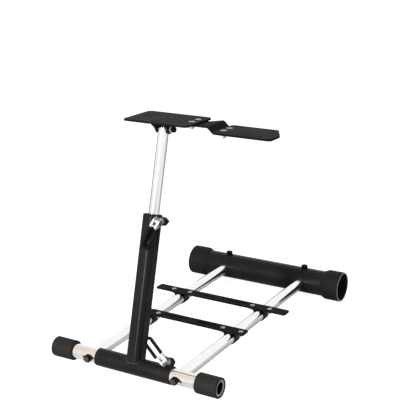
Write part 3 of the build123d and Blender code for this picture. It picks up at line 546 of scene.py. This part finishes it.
class STAND_OT_weld_seams(Operator):
    """Add the weld seams of the mast's foot, the clamps' lugs and the wheel plate's ears"""

    bl_idname = "stand.weld_seams"
    bl_label = "Weld seams"

    def execute(self, context):
        sizes = context.scene.stand_fittings
        self.mast_foot(sizes)
        self.lower_lugs(sizes)
        self.upper_lugs(sizes)
        self.ears(sizes)
        return {"FINISHED"}

    def mast_foot(self, sizes):
        """The seam round the mast's foot, where it sits on the sleeve."""
        half_x = MAST_WIDTH / 2 - sizes.mast_corner
        half_y = sizes.mast_depth / 2 - sizes.mast_corner
        outline = []
        for quarter, (x, y) in enumerate(((1, 1), (-1, 1), (-1, -1), (1, -1))):
            corner = RIGHT * (x * half_x) + MAST_BACK * (y * half_y)
            for n in range(CORNER_STEPS + 1):
                turn = pi / 2 * (quarter + n / CORNER_STEPS)
                side = RIGHT * cos(turn) + MAST_BACK * sin(turn)
                outline.append((corner + side * sizes.mast_corner, side))
        points, outwards = [], []
        for (start, side), (end, _) in zip(outline, outline[1:] + outline[:1]):
            count = max(1, ceil((end - start).length / SEAM_REACH))
            for k in range(count):
                flat = start.lerp(end, k / count)
                depth = flat.dot(MAST_BACK)
                height = sqrt(max(SLEEVE_R ** 2 - depth ** 2, sizes.mast_foot ** 2))
                rise = (MAST_BACK * depth + MAST_UP * height).normalized()
                points.append(PIVOT + flat + MAST_UP * height)
                outwards.append((side + rise).normalized())
        points.append(points[0])
        outwards.append(outwards[0])
        bm = bmesh.new()
        weld(bm, points, outwards, sizes.weld_width, sizes.weld_step)
        finish_piece(bm, "mast_foot_weld", "mast", "weld_coat_painted_glint")

    def lower_lugs(self, sizes):
        """The seams along the lower lugs' feet on the sleeve."""
        place = clamp_place("lower")
        height = sqrt(SLEEVE_R ** 2 - LUG_FACE ** 2) - place["reach"]
        bm = bmesh.new()
        for side in (-1, 1):
            ends = [place["middle"] + place["across"] * (end * LUG_HALF) + place["axis"] * (side * LUG_FACE)
                    + place["up"] * height for end in (-1, 1)]
            out = (place["axis"] * side + place["up"] * LOWER_LUG_RISE).normalized()
            weld(bm, ends, [out, out], sizes.weld_width * LOWER_LUG_SEAM, sizes.weld_step)
        finish_piece(bm, "lower_lug_welds", "mast", "weld_coat_painted_glint")

    def upper_lugs(self, sizes):
        """The seams along the upper lugs' feet on the mast."""
        place = clamp_place("upper")
        foot = place["middle"] - place["up"] * (place["reach"] - MAST_WIDTH / 2)
        bm = bmesh.new()
        for side in (-1, 1):
            ends = [foot + place["across"] * (end * LUG_HALF) + place["axis"] * (side * LUG_FACE)
                    for end in (-1, 1)]
            out = (place["axis"] * side + place["up"]).normalized()
            weld(bm, ends, [out, out], sizes.weld_width * UPPER_LUG_SEAM, sizes.weld_step)
        finish_piece(bm, "upper_lug_welds", "mast", "weld_coat_painted_glint")

    def ears(self, sizes):
        """Short seams where the ears' flanges meet the wheel plate."""
        bm = bmesh.new()
        for node, side in (("left_plate_ear", -1), ("right_plate_ear", 1)):
            low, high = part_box(node)
            edge = high[0] if side > 0 else low[0]
            height = high[2] - EAR_SEAM_SUNK
            for y in (low[1] + EAR_SEAM_INSET, high[1] - EAR_SEAM_INSET - EAR_SEAM_LENGTH):
                ends = [Vector((edge, y, height)), Vector((edge, y + EAR_SEAM_LENGTH, height))]
                out = Vector((side, 0, -1)).normalized()
                weld(bm, ends, [out, out], sizes.weld_width * EAR_SEAM, sizes.weld_step)
        finish_piece(bm, "ear_welds", "head", "weld_coat_painted_glint")


class STAND_OT_clamp_nuts(Operator):
    """Make the clamps' round nuts with grip ribs, and their washers"""

    bl_idname = "stand.clamp_nuts"
    bl_label = "Clamp nuts"

    def execute(self, context):
        sizes = context.scene.stand_fittings
        for name in ("lower", "upper"):
            place = clamp_place(name)
            self.nut(sizes, name, frame_of(place["nut"], place["axis"], place["across"]))
            face = frame_of(place["middle"] + place["axis"] * LUG_FACE, place["axis"], place["across"])
            bm = bmesh.new()
            ring(bm, face, ((WASHER_BORE_R, 0), (WASHER_R - WASHER_ROUND, 0), (WASHER_R, WASHER_ROUND),
                            (WASHER_R, WASHER_THICKNESS - WASHER_ROUND),
                            (WASHER_R - WASHER_ROUND, WASHER_THICKNESS), (WASHER_BORE_R, WASHER_THICKNESS)))
            finish_piece(bm, f"{name}_nut_washer", "mast", "bright_zinc")
        return {"FINISHED"}

    def nut(self, sizes, name, place):
        """A ribbed nut with a domed end and a recess round its bolt."""
        bm = bmesh.new()
        made = bmesh.ops.create_circle(bm, cap_ends=True, segments=4 * sizes.nut_ribs,
                                       radius=sizes.nut_radius)
        for n, corner in enumerate(made["verts"]):
            if n % 4 > 1:
                corner.co *= NUT_GROOVE
        bmesh.ops.translate(bm, verts=bm.verts, vec=(0, 0, -sizes.nut_length / 2))
        grown = bmesh.ops.extrude_face_region(bm, geom=bm.faces[:])
        lifted = [part for part in grown["geom"] if isinstance(part, bmesh.types.BMVert)]
        bmesh.ops.translate(bm, verts=lifted, vec=(0, 0, sizes.nut_length))
        top = [part for part in grown["geom"] if isinstance(part, bmesh.types.BMFace)]
        bmesh.ops.bevel(bm, geom=[edge for face in top for edge in face.edges], offset=NUT_DOME,
                        offset_type="OFFSET", segments=3, profile=0.5, affect="EDGES", material=-1)
        bm.faces.ensure_lookup_table()
        top = [max(bm.faces, key=lambda face: face.calc_center_median().z)]
        bmesh.ops.inset_region(bm, faces=top, thickness=NUT_RECESS_INSET, depth=0)
        bmesh.ops.inset_region(bm, faces=top, thickness=NUT_RECESS_SLOPE, depth=-NUT_RECESS_DEPTH)
        bmesh.ops.transform(bm, matrix=place, verts=bm.verts)
        piece = finish_piece(bm, f"{name}_ribbed_nut", "mast", "grained_plastic",
                             NUT_SHARP)
        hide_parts(f"{name}_clamp_nut")


class STAND_OT_bolt_threads(Operator):
    """Cut the look of a thread into the clamp bolts' free ends"""

    bl_idname = "stand.bolt_threads"
    bl_label = "Bolt threads"

    def execute(self, context):
        sizes = context.scene.stand_fittings
        for name in ("lower", "upper"):
            place = clamp_place(name)
            start = place["nut"] + place["axis"] * (sizes.nut_length / 2)
            flank = THREAD_FLANK * sizes.thread_pitch
            bm = bmesh.new()
            for turn in range(sizes.thread_turns):
                crest = start + place["axis"] * ((turn + THREAD_START) * sizes.thread_pitch)
                ring(bm, frame_of(crest, place["axis"], place["across"]),
                     ((THREAD_ROOT_R, -flank), (THREAD_CREST_R, 0), (THREAD_ROOT_R, flank)), steps=28)
            finish_piece(bm, f"{name}_bolt_thread", "mast", "bright_zinc", THREAD_SHARP)
        return {"FINISHED"}


class STAND_OT_pin_heads(Operator):
    """Add the riveted heads of the lever pins on both cheeks of each fork"""

    bl_idname = "stand.pin_heads"
    bl_label = "Pin heads"

    def execute(self, context):
        r = context.scene.stand_fittings.pin_radius
        for name in ("lower", "upper"):
            joint = JOINTS[f"{name}_lever_swing"]
            axis = Vector(joint["axis"]).normalized()
            bm = bmesh.new()
            for side in (-1, 1):
                seat = Vector(joint["pos_m"]) + axis * (side * CHEEK)
                ring(bm, frame_of(seat, axis * side, MAST_BACK),
                     [(out * r, height * r) for out, height in PIN_HEAD], steps=32)
            # The heads take the darker zinc: painted shade.
            finish_piece(bm, f"{name}_pin_heads", f"{name}_lever", "painted_shade_pin_zinc")
        return {"FINISHED"}


class STAND_OT_tube_rivets(Operator):
    """Add the small dark rivets on the front tube, beside the rails' bolts"""

    bl_idname = "stand.tube_rivets"
    bl_label = "Tube rivets"

    def execute(self, context):
        sizes = context.scene.stand_fittings
        tube_r = extent("front_tube", 2) / 2
        r = sizes.rivet_radius
        for side, name in ((-1, "left"), (1, "right")):
            bolt = middle(f"{name}_front_bolt")
            seat = Vector((bolt.x + side * sizes.rivet_offset, PIVOT.y - tube_r, PIVOT.z))
            bm = bmesh.new()
            ring(bm, frame_of(seat, Vector((0, -1, 0)), RIGHT),
                 [(out * r, height * r) for out, height in RIVET_HEAD], steps=24)
            finish_piece(bm, f"{name}_tube_rivet", "base", "grained_plastic")
        return {"FINISHED"}


class STAND_OT_foot_rims(Operator):
    """Add the rims in the front feet's mouths, pale with a painted highlight"""

    bl_idname = "stand.foot_rims"
    bl_label = "Foot rims"

    def execute(self, context):
        sizes = context.scene.stand_fittings
        for node, side in (("left_front_foot", -1), ("right_front_foot", 1)):
            low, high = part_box(node)
            outer = extent(node, 2) / 2 - sizes.rim_inset
            inner = outer - sizes.rim_width
            sunk = sizes.rim_sunk
            end = high[0] if side > 0 else low[0]
            heart = middle(node)
            place = frame_of(Vector((end, heart.y, heart.z)), RIGHT * side, UP)
            deep = sunk + RIM_THICKNESS
            edge = sunk + RIM_ROUND
            bm = bmesh.new()
            ring(bm, place, ((inner, -deep), (outer, -deep), (outer, -edge), (outer - RIM_ROUND, -sunk),
                             (inner + RIM_ROUND, -sunk), (inner, -edge)), steps=72)
            finish_piece(bm, node.replace("foot", "rim"), "base", "highlight_rim_rubber")
        return {"FINISHED"}


class STAND_OT_studio(Operator):
    """Set up the floor, the background, the lamp, the panels and the camera"""

    bl_idname = "stand.studio"
    bl_label = "Studio"

    def execute(self, context):
        settings = context.scene.stand_studio
        self.floor(settings)
        self.background(context.scene, settings)
        self.strip_lamp(settings)
        self.panels(settings)
        self.camera(context.scene, settings)
        context.scene.view_settings.view_transform = "Standard"
        return {"FINISHED"}

    def floor(self, settings):
        """A wide pale floor that keeps the shadow and shows white in the picture."""
        mesh = bpy.data.meshes.new("floor")
        bm = bmesh.new()
        bmesh.ops.create_grid(bm, x_segments=1, y_segments=1, size=FLOOR_HALF)
        bm.to_mesh(mesh)
        bm.free()
        floor = bpy.data.objects.new("floor", mesh)
        bpy.context.scene.collection.objects.link(floor)
        material = bpy.data.materials.new("pale_floor")
        material.use_nodes = True
        tree = material.node_tree
        shader = tree.nodes["Principled BSDF"]
        shader.inputs["Base Color"].default_value = (*settings.floor, 1)
        shader.inputs["Roughness"].default_value = 0.9
        shader.inputs["Specular IOR Level"].default_value = 0.0
        shader.inputs["Emission Color"].default_value = (1, 1, 1, 1)
        rays = put(tree, "ShaderNodeLightPath")
        mirrored = put(tree, "ShaderNodeMath", {
            0: rays.outputs["Is Glossy Ray"], 1: settings.mirror_glow}, operation="MULTIPLY")
        glow = put(tree, "ShaderNodeMath", {
            0: rays.outputs["Is Camera Ray"], 1: settings.floor_glow, 2: mirrored.outputs[0]},
            operation="MULTIPLY_ADD")
        tree.links.new(glow.outputs[0], shader.inputs["Emission Strength"])
        mesh.materials.append(material)

    def background(self, scene, settings):
        """Even fill light, with a white background for the picture and for reflections."""
        world = bpy.data.worlds.new("studio")
        scene.world = world
        world.use_nodes = True
        tree = world.node_tree
        rays = put(tree, "ShaderNodeLightPath")
        seen = put(tree, "ShaderNodeMath", {
            0: rays.outputs["Is Camera Ray"], 1: rays.outputs["Is Glossy Ray"]}, operation="MAXIMUM")
        level = put(tree, "ShaderNodeMapRange", {
            "Value": seen.outputs[0], "To Min": settings.fill, "To Max": 1.0})
        shader = tree.nodes["Background"]
        shader.inputs["Color"].default_value = (1, 1, 1, 1)
        tree.links.new(level.outputs[0], shader.inputs["Strength"])

    def strip_lamp(self, settings):
        """A narrow upright lamp in front, whose light runs down the mast."""
        aim = LAMP_TARGET - LAMP_PLACE
        lamp = bpy.data.lights.new("strip_lamp", "AREA")
        lamp.shape = "RECTANGLE"
        lamp.energy = settings.strip_power
        lamp.size = LAMP_WIDTH
        lamp.size_y = LAMP_HEIGHT
        lamp_object = bpy.data.objects.new("strip_lamp", lamp)
        lamp_object.location = LAMP_PLACE
        lamp_object.rotation_euler = aim.to_track_quat("-Z", "Y").to_euler()
        bpy.context.scene.collection.objects.link(lamp_object)

    def panels(self, settings):
        """Warm panels overhead and at the front left, and two dim low ones, for the chrome to mirror."""
        for name, place, facing, halves, light in PANELS:
            material = bpy.data.materials.new(name)
            material.use_nodes = True
            shader = material.node_tree.nodes["Principled BSDF"]
            shader.inputs["Base Color"].default_value = (0, 0, 0, 1)
            shader.inputs["Specular IOR Level"].default_value = 0.0
            shader.inputs["Emission Color"].default_value = (*getattr(settings, light), 1)
            shader.inputs["Emission Strength"].default_value = 1.0
            level = UP.cross(facing) if facing.z == 0 else RIGHT
            bm = bmesh.new()
            bmesh.ops.create_grid(bm, x_segments=1, y_segments=1, size=1,
                                  matrix=frame_of(place, facing, level) @ Matrix.Diagonal((*halves, 1, 1)))
            mesh = bpy.data.meshes.new(name)
            bm.to_mesh(mesh)
            bm.free()
            mesh.materials.append(material)
            panel = bpy.data.objects.new(name, mesh)
            panel.visible_camera = False
            bpy.context.scene.collection.objects.link(panel)

    def camera(self, scene, settings):
        """The camera at the photograph's viewing angle."""
        camera = bpy.data.cameras.new("camera")
        camera.lens = settings.lens
        camera.sensor_width = SENSOR_WIDTH
        camera.clip_end = CAMERA_REACH
        camera_object = bpy.data.objects.new("camera", camera)
        place, target = Vector(settings.camera_place), Vector(settings.camera_target)
        camera_object.location = PIVOT + place
        camera_object.rotation_euler = (target - place).to_track_quat("-Z", "Y").to_euler()
        scene.collection.objects.link(camera_object)
        scene.camera = camera_object


class STAND_PT_panel(Panel):
    """The stand's finishes, fittings and studio"""

    bl_idname = "STAND_PT_panel"
    bl_label = "Racing wheel stand"
    bl_space_type = "VIEW_3D"
    bl_region_type = "UI"
    bl_category = "Stand"

    def draw(self, context):
        for group in (context.scene.stand_finish, context.scene.stand_fittings, context.scene.stand_studio):
            box = self.layout.box()
            for name in group.__annotations__:
                box.prop(group, name)
        for operator in OPERATORS:
            self.layout.operator(operator.bl_idname)


OPERATORS = (STAND_OT_finish_nodes, STAND_OT_weld_seams, STAND_OT_clamp_nuts,
             STAND_OT_bolt_threads, STAND_OT_pin_heads, STAND_OT_tube_rivets, STAND_OT_foot_rims,
             STAND_OT_studio)
CLASSES = (StandFinish, StandFittings, StandStudio, *OPERATORS, STAND_PT_panel)


def register():
    for entry in CLASSES:
        bpy.utils.register_class(entry)
    bpy.types.Scene.stand_finish = PointerProperty(type=StandFinish)
    bpy.types.Scene.stand_fittings = PointerProperty(type=StandFittings)
    bpy.types.Scene.stand_studio = PointerProperty(type=StandStudio)


def unregister():
    del bpy.types.Scene.stand_finish
    del bpy.types.Scene.stand_fittings
    del bpy.types.Scene.stand_studio
    for entry in reversed(CLASSES):
        bpy.utils.unregister_class(entry)


def main():
    register()
    bpy.ops.stand.finish_nodes()
    bpy.ops.stand.weld_seams()
    bpy.ops.stand.clamp_nuts()
    bpy.ops.stand.bolt_threads()
    bpy.ops.stand.pin_heads()
    bpy.ops.stand.tube_rivets()
    bpy.ops.stand.foot_rims()
    bpy.ops.stand.studio()


if __name__ == "__main__":
    main()
